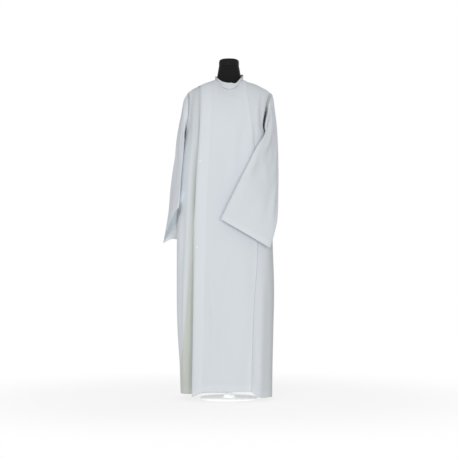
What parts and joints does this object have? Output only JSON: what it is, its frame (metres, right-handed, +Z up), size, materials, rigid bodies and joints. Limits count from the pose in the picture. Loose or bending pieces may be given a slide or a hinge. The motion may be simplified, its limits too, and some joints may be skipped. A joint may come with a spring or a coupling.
{
  "type": "alb robe on a limbless dress form",
  "caption": "Long white wrap-front alb with a stand collar, knife pleat and wide open sleeves, one laid across the front, on a black limbless dress form with a round base.",
  "frame": {"origin": "centre of the stand base's underside", "axes": "+Z up along the pole, the robe's front faces -Y, its left sleeve is on +X"},
  "size_m": [0.5193, 0.3576, 1.5265],
  "materials": {
    "alb_cloth": "matte plain weave",
    "button": "satin",
    "form_cover": "matte knit cover",
    "stand_enamel": "satin white"
  },
  "bodies": {
    "root": {"left_front": "alb_cloth", "right_front": "alb_cloth", "back": "alb_cloth", "left_sleeve": "alb_cloth", "right_sleeve": "alb_cloth", "collar": "alb_cloth", "button_upper": "button", "button_lower": "button", "form_torso": "form_cover", "form_neck_cap": "form_cover", "stand_pole": "stand_enamel", "stand_base": "stand_enamel"}
  },
  "joints": []
}
